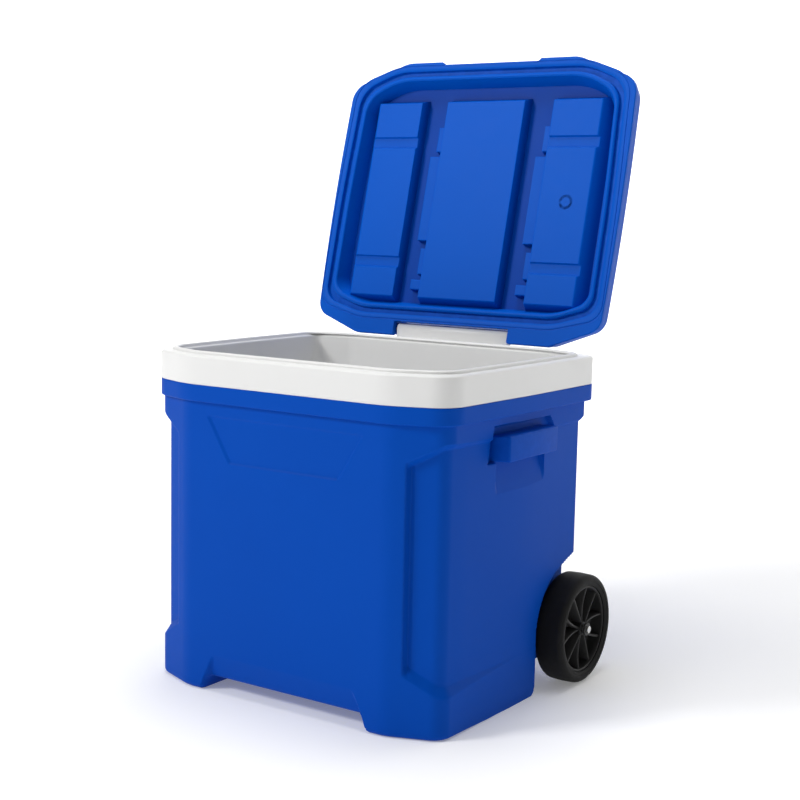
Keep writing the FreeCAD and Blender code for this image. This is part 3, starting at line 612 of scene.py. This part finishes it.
def capped_sweep(name, sections, finish, body, angle=35.0):
    """A solid through closed sections, closed at both ends by shrinking the end sections to their middles."""
    first = sections[0].mean(axis=0, keepdims=True) + (sections[0] - sections[0].mean(axis=0)) * 0.001
    last = sections[-1].mean(axis=0, keepdims=True) + (sections[-1] - sections[-1].mean(axis=0)) * 0.001
    return surface(name, np.array([first, *sections, last]), finish, body=body, angle=angle)


def hinge_section(x, inset):
    """The hinge block's section across the cooler: an upright foot with a round barrel on top."""
    radius = HINGE_BARREL - inset
    back = RIM_HALF_DEPTH - 0.001 - inset
    foot_level = RIM_TOP - 0.002
    barrel = [(HINGE_Y + radius * math.cos(t), HINGE_Z + radius * math.sin(t)) for t in arc(-25.0, 180.0, 22)]
    foot = [(HINGE_Y - radius, foot_level), (back, foot_level), (back, HINGE_Z - 0.008)]
    return np.array([(x, y, z) for y, z in barrel + foot])


HINGE_ENDS = ((1.0, 0.0015), (0.992, 0.0004), (0.985, 0.0))
hinge_steps = [(-share, inset) for share, inset in HINGE_ENDS] + [(0.0, 0.0)] + list(reversed(HINGE_ENDS))
hinge_sections = [hinge_section(HINGE_HALF_WIDTH * share, inset)[::-1] for share, inset in hinge_steps]
hinge_block = capped_sweep("hinge_block", hinge_sections, liner_white, "cooler_body")

# --------------------------------------------------------------------------------------------------
# Lid top shell: the lid's blue outer moulding, drawn closed and turned open. Two ears reach past a
# finger notch at the front, two lugs straddle the hinge block at the back, and a bead runs round the
# side below the rounded top edge.
# --------------------------------------------------------------------------------------------------
LID_BOTTOM, LID_TOP = 0.4605, 0.4965
LID_HALF_WIDTH = 0.2465
LID_BOW = 0.020
LID_FRONT, LID_REAR = 0.2130, 0.2183
FINGER_NOTCH = 0.2067
FINGER_NOTCH_HALF = 0.0800
HINGE_NOTCH_Y = 0.1968
HINGE_NOTCH_HALF = 0.1005
LID_EDGE = 0.0140
EDGE_INSET = 0.0036
EDGE_SWEEP = 0.0134
OPEN_ANGLE = 104.0


def opened(points):
    """Turn closed lid points back about the hinge."""
    angle = math.radians(-OPEN_ANGLE)
    y = points[..., 1] - HINGE_Y
    z = points[..., 2] - HINGE_Z
    turned = np.array(points)
    turned[..., 1] = HINGE_Y + y * math.cos(angle) - z * math.sin(angle)
    turned[..., 2] = HINGE_Z + y * math.sin(angle) + z * math.cos(angle)
    return turned


def lid_row(inset, level):
    """The lid's plan at one level, set in from its widest outline."""
    side = LID_HALF_WIDTH - inset
    front = LID_FRONT - inset
    notch = FINGER_NOTCH - inset
    rear = LID_REAR - inset
    back = HINGE_NOTCH_Y - inset * 0.35
    half = [
        (0.0865, -front, 0.003, 5),
        (0.150, -front, 0.05, 8),
        (side, 0.0375 - front, 0.030, 14),
        (side, rear - 0.029, 0.024, 12),
        (0.170, rear, 0.02, 6),
        (HINGE_NOTCH_HALF, rear, 0.0025, 5),
        (HINGE_NOTCH_HALF, back, 0.002, 4),
    ]
    corners = [(-FINGER_NOTCH_HALF, -notch, 0.003, 5), (FINGER_NOTCH_HALF, -notch, 0.003, 5), *half]
    corners += [(-x, y, radius, steps) for x, y, radius, steps in reversed(half)]
    loop = rounded_loop(corners, (60, 2, 16, 34, 120, 30, 24, 8, 60, 8, 24, 30, 120, 34, 16, 2))
    loop[:, 0] *= 1.0 + LID_BOW * (1.0 - (loop[:, 1] / LID_REAR) ** 2)
    return np.column_stack([loop, np.full(len(loop), level)])


def lid_ring(inset, depth):
    """A ring of the lid's underside, concentric with the rim's lip when the lid is closed."""
    return rim_row(inset, LID_BOTTOM + depth, LIP_SETBACK)


lid_rows = []
for inset, rise in ((0.0010, 0.0), (0.0, 0.0010), (0.0, 0.0078), (0.0005, 0.0088), (0.0020, 0.0092),
                    (0.0024, 0.0100), (EDGE_INSET, LID_TOP - LID_EDGE - LID_BOTTOM)):
    lid_rows.append(lid_row(inset, LID_BOTTOM + rise))
for turn in arc(0.0, 90.0, 10)[1:]:
    inset = EDGE_INSET + EDGE_SWEEP * (1.0 - math.cos(turn))
    lid_rows.append(lid_row(inset, LID_TOP - LID_EDGE * (1.0 - math.sin(turn))))
lid_blue = moulded_blue("lid_blue", colour(0, 84, 190), colour(0, 80, 184), 0.38)
lid_shell = surface("lid_top_skin", opened(np.array(lid_rows)), lid_blue, body="lid", angle=40.0)
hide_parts("lid_top_shell", "lid_foam")

SEAM_INSET = 0.0015
TRAY_HALF_WIDTH, TRAY_FRONT, TRAY_REAR = 0.212, 0.176, 0.168


def flat_between(name, outer, inner):
    """A flat web of the lid between two closed loops."""
    loops = [[Vector((x, y, 0.0)) for x, y, z in loop] for loop in (outer, inner)]
    mesh = bpy.data.meshes.new(name)
    mesh.from_pydata(opened(np.concatenate([outer, inner])).tolist(), [], tessellate_polygon(loops))
    return finished(name, mesh, lid_blue, "lid")


def tray_ring(inset, sink):
    """A ring of the shallow tray in the lid's top."""
    loop = cooler_plan(TRAY_HALF_WIDTH - inset, TRAY_FRONT - inset, TRAY_REAR - inset,
                       flat=0.135, corner=0.03, soft=0.03)
    return np.column_stack([loop, np.full(len(loop), LID_TOP - sink)])


flange = flat_between("lid_flange", lid_row(0.0010, LID_BOTTOM), lid_ring(SEAM_INSET, 0.0))
top_border = flat_between("lid_top_border", lid_row(EDGE_INSET + EDGE_SWEEP, LID_TOP), tray_ring(0.0, 0.0))
tray_sides = ((0.0, 0.0), (0.0010, 0.0003), (0.0045, 0.0032), (0.0060, 0.0036))
tray_rows = [tray_ring(inset, sink) for inset, sink in tray_sides]
for share in (0.1, 0.3, 0.5, 0.7, 0.85, 0.999):
    row = tray_ring(*tray_sides[-1])
    row[:, :2] *= 1.0 - share
    tray_rows.append(row)
tray = surface("lid_top_tray", opened(np.array(tray_rows)), lid_blue, body="lid")

# --------------------------------------------------------------------------------------------------
# Lid inner panel: the blue moulding that closes the lid below. A groove takes the rim's lip, a round
# bead runs inside it, and three flat panels stand in a deep valley. Ledges stiffen the channels
# between them, and bands cross the outer two.
# --------------------------------------------------------------------------------------------------
VALLEY_DEPTH = 0.0240
PANEL_DEPTH = 0.0060
BAND_DEPTH = 0.0095
LEDGE_DEPTH = 0.0110
PANEL_HEIGHT = VALLEY_DEPTH - PANEL_DEPTH
BAND_HEIGHT = VALLEY_DEPTH - BAND_DEPTH
LEDGE_HEIGHT = VALLEY_DEPTH - LEDGE_DEPTH
BEAD_RADIUS = 0.0036
BEAD_INSET = LIP_INSET + 0.0105
GROOVE_DEPTH = 0.0062

seam = [(SEAM_INSET, 0.0), (SEAM_INSET + 0.0005, 0.0011), (SEAM_INSET + 0.0018, 0.0012),
        (SEAM_INSET + 0.0023, 0.0003)]
groove = [(LIP_INSET - 0.0018, 0.0), (LIP_INSET - 0.0010, 0.0006), (LIP_INSET - 0.0008, GROOVE_DEPTH),
          (LIP_INSET + 0.0066, GROOVE_DEPTH), (LIP_INSET + 0.0068, 0.0024)]
panel_rows = [lid_ring(inset, depth) for inset, depth in seam + groove]
for turn in arc(180.0, 0.0, 10):
    panel_rows.append(lid_ring(BEAD_INSET + BEAD_RADIUS * math.cos(turn), 0.0024 - 0.0024 * math.sin(turn)))
for share in np.linspace(0.0, 1.0, 8):
    depth = 0.0030 + (VALLEY_DEPTH - 0.0028) * share
    panel_rows.append(lid_ring(LIP_INSET + 0.0142 + 0.0072 * share, depth))


def graded(edges, low, high, coarse=0.012):
    """Grid lines from low to high: close together round each edge and wide apart between them."""
    lines = [low, high, *np.arange(low, high, coarse)]
    for edge in edges:
        for offset in (0.0, 0.0008, 0.0015, 0.0022, 0.0030):
            lines += [edge - offset, edge + offset]
    return np.unique(np.round([line for line in lines if low <= line <= high], 5))


def slopes(value, low, high, flank_low, flank_high, full):
    """Height of a raised strip whose top runs from low to high, with a flank outside each end, not
    yet cut off at full."""
    return full * np.minimum((value - low) / flank_low + 1.0, (high - value) / flank_high + 1.0)


def crowned(height, full, radius=0.0016):
    """Cut a height off at full with a rounded edge, and at 0 with a sharp one."""
    share = np.clip(0.5 + 0.5 * (full - height) / radius, 0.0, 1.0)
    return np.maximum(full + (height - full) * share - radius * share * (1.0 - share), 0.0)


FIELD_LOW, FIELD_HIGH = 0.040, 0.347
MIDDLE_PANEL = (-0.069, 0.067, 0.003, 0.003)
SIDE_PANELS = ((-0.196, -0.116, 0.014, 0.003), (0.116, 0.196, 0.003, 0.014))
CROSS_BANDS = ((0.0860, 0.1010), (0.2760, 0.2910))
CHANNEL_EDGES = (-0.072, 0.113)
LEDGES = ((0.017, 0.130, 0.262), (0.017, 0.053, 0.068), (0.008, 0.077, 0.117), (0.008, 0.270, 0.308))
across_edges = (-0.210, -0.196, -0.116, -0.113, -0.089, -0.080, -0.072, -0.069, 0.067, 0.070, 0.095, 0.104,
                0.113, 0.116, 0.196, 0.210)
along_edges = (0.030, 0.040, 0.053, 0.068, 0.077, 0.085, 0.102, 0.117, 0.130, 0.262, 0.270, 0.275, 0.292,
               0.308, 0.347, 0.355)
across, along = np.meshgrid(graded(across_edges, -0.224, 0.224), graded(along_edges, 0.022, 0.374))
field = slopes(along, FIELD_LOW, FIELD_HIGH, 0.010, 0.008, PANEL_HEIGHT)
height = crowned(np.minimum(field, slopes(across, *MIDDLE_PANEL, PANEL_HEIGHT)), PANEL_HEIGHT)
band_strips = [slopes(along, low, high, 0.0015, 0.0015, 1.0) for low, high in CROSS_BANDS]
band = np.clip(np.maximum(*band_strips), 0.0, 1.0)
for side_panel in SIDE_PANELS:
    side_height = crowned(np.minimum(field, slopes(across, *side_panel, PANEL_HEIGHT)), PANEL_HEIGHT)
    banded = np.minimum(side_height, PANEL_HEIGHT - (PANEL_HEIGHT - BAND_HEIGHT) * band)
    height = np.maximum(height, banded)
for edge in CHANNEL_EDGES:
    for width, low, high in LEDGES:
        ledge = np.minimum(slopes(across, edge - width, edge + 0.01, 0.0015, 0.001, LEDGE_HEIGHT),
                           slopes(along, low, high, 0.0012, 0.0012, LEDGE_HEIGHT))
        height = np.maximum(height, crowned(ledge, LEDGE_HEIGHT))
grid_points = np.stack([across, 0.197 - along, LID_BOTTOM + VALLEY_DEPTH - height], axis=-1)

# The valley takes a darker tint than the raised panels: painted shade, standing in for the shade in its
# channels.
hinge_point = np.array([0.0, HINGE_Y, HINGE_Z])
lid_up = opened(hinge_point + np.array([0.0, 0.0, 1.0])) - hinge_point
under_lid = float(hinge_point @ lid_up) + LID_BOTTOM - HINGE_Z
valley_blue = moulded_blue("valley_blue", colour(0, 84, 190), colour(0, 80, 184), 0.38)
rise = valley_blue.node("ShaderNodeVectorMath", {"operation": "DOT_PRODUCT"},
                        {0: valley_blue.place(), 1: tuple(lid_up)}, 1)
valley_shade = rise.between(under_lid + PANEL_DEPTH + 0.002, under_lid + VALLEY_DEPTH - 0.002)
unshaded_blue = Wire(valley_blue, valley_blue.shader.inputs["Base Color"].links[0].from_socket)
# Painted shade: the deep valley floor is mixed towards a darker blue by its depth in the lid.
valley_blue.drive("Base Color", valley_blue.mix(valley_shade * 0.8, unshaded_blue, colour(0, 58, 150)))

panel_rim = surface("lid_inner_rim", opened(np.array(panel_rows)), lid_blue, body="lid", angle=50.0)
lid_panel = surface("lid_inner_field", opened(grid_points), valley_blue, closed=False, body="lid", angle=28.0)
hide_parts("lid_inner_panel")

# --------------------------------------------------------------------------------------------------
# Tyres and wheels: a smooth tyre of soft black plastic with rounded shoulders is moulded on a hard
# black wheel. Five pairs of thin curved spokes run from a small hub to the rim, in front of a
# recessed web.
# --------------------------------------------------------------------------------------------------
TYRE_RADIUS = 0.077
TYRE_SHOULDER = 0.008
TYRE_FACE = 0.268
WHEEL_BACK = TYRE_FACE - 0.044
RIM_RADIUS = 0.0615
RIM_BEAD = 0.0018
HUB_RADIUS = 0.0095
BORE_RADIUS = 0.0049
WEB_FACE = TYRE_FACE - 0.0235
SPOKE_PAIRS = 5
SPOKE_START = 100.0


def revolved(name, profile, finish, body, side, steps=96, angle=35.0):
    """A profile of x and radius turned about the axle."""
    turns = np.linspace(0.0, 2 * math.pi, steps, endpoint=False)
    rows = []
    for x, radius in profile:
        y = WHEEL_CENTRE.y + radius * np.cos(turns)
        z = WHEEL_CENTRE.z + radius * np.sin(turns)
        rows.append(np.column_stack([np.full(steps, side * x), y, z]))
    points = np.array(rows)
    return surface(name, points[::-1] if side > 0 else points, finish, body=body, angle=angle)


def black_plastic(name, level, roughness, grain=0.0010, relief=0.00006):
    """A black moulded plastic: dull, dusty in patches, and rubbed paler on its edges."""
    black = Finish(name, ior=1.5, specular_ior_level=0.28)
    dust = black.noise(0.015, 4.0, 0.65).between(0.45, 0.8) * 0.5
    base = black.mix(dust, (level, level, level * 1.03, 1.0), (level * 2.2, level * 2.2, level * 2.1, 1.0))
    rubbed = (level * 5.0, level * 5.0, level * 5.0, 1.0)
    black.drive("Base Color", black.mix(black.edges() * 0.4, base, rubbed))
    black.drive("Roughness", roughness + 0.12 * black.noise(0.01, 3.0))
    black.bump(black.noise(grain, 2.0), relief, 0.8)
    return black


tyre_black = black_plastic("tyre_black", 0.0045, 0.66)
wheel_black = black_plastic("wheel_black", 0.012, 0.44)

crown = TYRE_RADIUS - TYRE_SHOULDER - 0.0005
tyre_profile = [(WHEEL_BACK + 0.001, RIM_RADIUS - 0.001), (WHEEL_BACK, RIM_RADIUS + 0.002)]
for turn in arc(0.0, 90.0, 9):
    x = WHEEL_BACK + TYRE_SHOULDER * (1.0 - math.cos(turn))
    tyre_profile.append((x, crown + TYRE_SHOULDER * math.sin(turn)))
tyre_profile.append(((WHEEL_BACK + TYRE_FACE) / 2, TYRE_RADIUS))
for turn in arc(0.0, 90.0, 9):
    x = TYRE_FACE - TYRE_SHOULDER * (1.0 - math.sin(turn))
    tyre_profile.append((x, crown + TYRE_SHOULDER * math.cos(turn)))
tyre_profile += [
    (TYRE_FACE - 0.0004, TYRE_RADIUS - 0.0105),
    (TYRE_FACE - 0.0012, TYRE_RADIUS - 0.0110),
    (TYRE_FACE - 0.0012, RIM_RADIUS + 0.0022),
    (TYRE_FACE - 0.0030, RIM_RADIUS - 0.0005),
    (TYRE_FACE - 0.0075, RIM_RADIUS - 0.0012),
]

wheel_profile = [(TYRE_FACE - 0.0060, RIM_RADIUS)]
for turn in arc(0.0, 180.0, 7):
    x = TYRE_FACE - 0.0060 + RIM_BEAD * math.sin(turn)
    wheel_profile.append((x, RIM_RADIUS - 0.0022 + RIM_BEAD * math.cos(turn)))
wheel_profile += [
    (TYRE_FACE - 0.022, RIM_RADIUS - 0.0055),
    (WEB_FACE, RIM_RADIUS - 0.0075),
    (WEB_FACE, 0.030),
    (TYRE_FACE - 0.0225, 0.0155),
    (TYRE_FACE - 0.0215, HUB_RADIUS + 0.001),
    (TYRE_FACE - 0.0065, HUB_RADIUS),
    (TYRE_FACE - 0.0052, HUB_RADIUS - 0.0013),
    (TYRE_FACE - 0.0052, 0.0062),
    (TYRE_FACE - 0.0085, 0.0058),
    (TYRE_FACE - 0.0087, BORE_RADIUS),
]
wheel_back_profile = [
    (TYRE_FACE - 0.0087, BORE_RADIUS),
    (WHEEL_BACK - 0.002, BORE_RADIUS),
    (WHEEL_BACK - 0.002, 0.0120),
    (WHEEL_BACK + 0.012, 0.0130),
    (WHEEL_BACK + 0.016, 0.0150),
    (WHEEL_BACK + 0.016, RIM_RADIUS - 0.008),
    (WHEEL_BACK + 0.004, RIM_RADIUS - 0.006),
    (WHEEL_BACK + 0.003, RIM_RADIUS),
]
SPOKE_SECTION = ((-1.25, 0.016), (-1.0, 0.002), (-0.6, 0.0004), (0.0, 0.0), (0.6, 0.0004), (1.0, 0.002),
                 (1.25, 0.016))


def spoke_sections(pair_angle, lean, side):
    """Sections of one curved spoke from the hub to the rim, leaning away from its pair's middle."""
    sections = []
    for share in np.linspace(0.0, 1.0, 14):
        radius = HUB_RADIUS - 0.002 + (RIM_RADIUS - 0.004 - HUB_RADIUS + 0.002) * share
        angle = math.radians(pair_angle + lean * (3.0 + 15.0 * share ** 0.55 + 2.0 * share))
        along = np.array([math.cos(angle), math.sin(angle)])
        across = np.array([-math.sin(angle), math.cos(angle)])
        middle = along * radius + np.array([WHEEL_CENTRE.y, WHEEL_CENTRE.z])
        half = 0.0017 + 0.0004 * share
        front = TYRE_FACE - 0.0068 - 0.0015 * math.sin(math.pi * share)
        section = []
        for place, back in SPOKE_SECTION:
            section.append((side * (front - back), *(middle + across * half * place)))
        sections.append(section[::-1] if side > 0 else section)
    return np.array(sections)


for side_name, side in (("right", 1.0), ("left", -1.0)):
    wheel_body = f"wheel_{side_name}"
    tyre = revolved(f"tyre_{side_name}_skin", tyre_profile, tyre_black, wheel_body, side)
    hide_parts(f"tyre_{side_name}")
    wheel = revolved(f"wheel_{side_name}_face", wheel_profile, wheel_black, wheel_body, side)
    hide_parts(f"wheel_{side_name}")
    wheel_back = revolved(f"wheel_{side_name}_back", wheel_back_profile, wheel_black, wheel_body, side)
    for pair in range(SPOKE_PAIRS):
        for letter, lean in (("a", -1.0), ("b", 1.0)):
            sections = spoke_sections(SPOKE_START + 360.0 / SPOKE_PAIRS * pair, lean, side)
            spoke = surface(f"spoke_{side_name}_{pair}_{letter}", sections, wheel_black, body=wheel_body)

# --------------------------------------------------------------------------------------------------
# Running gear, tow handle, drain and fill plugs: drawn fully in the design model, and finished here
# in zinc-plated steel, black nylon, soft grip rubber and seal rubber, or in the colour of the
# moulding that they are set in.
# --------------------------------------------------------------------------------------------------
steel = Finish("steel", metallic=1.0)
drawn = steel.noise(0.004, 3.0, 0.6, (0.08, 1.0, 1.0))
tarnish = steel.noise(0.006, 4.0, 0.65).between(0.55, 0.8) * 0.5
steel.drive("Base Color", steel.mix(tarnish, (0.62, 0.62, 0.60, 1.0), (0.42, 0.40, 0.37, 1.0)))
steel.drive("Roughness", 0.22 + 0.16 * drawn + 0.2 * tarnish)
steel.bump(drawn, 0.00002, 0.6)

bush_plastic = black_plastic("bush_plastic", 0.014, 0.40)
handle_black = black_plastic("handle_black", 0.013, 0.38)
grip_black = black_plastic("grip_black", 0.009, 0.66, 0.0016, 0.00016)
seal_rubber = black_plastic("seal_rubber", 0.011, 0.58)

design_nodes = (
    (lid_blue, ("lid_fill_plug",)),
    (shell_blue, ("base_fill_plug",)),
    (steel, ("hinge_pin_right", "hinge_pin_left", "wheel_washer_right", "wheel_washer_left", "axle",
             "tow_pivot_pins", "tow_bracket_screws", "tow_grip_screws")),
    (bush_plastic, ("axle_bush_right", "axle_bush_left", "push_nut_right", "push_nut_left")),
    (handle_black, ("tow_bracket_right", "tow_bracket_left", "tow_arm_right", "tow_arm_left")),
    (grip_black, ("tow_grip",)),
    (seal_rubber, ("drain_gasket", "drain_plug_seal")),
    (liner_white, ("drain_fitting", "drain_nut", "drain_plug")),
)
for finish, nodes in design_nodes:
    for node in nodes:
        bpy.data.objects[node].material_slots[0].material = finish.material
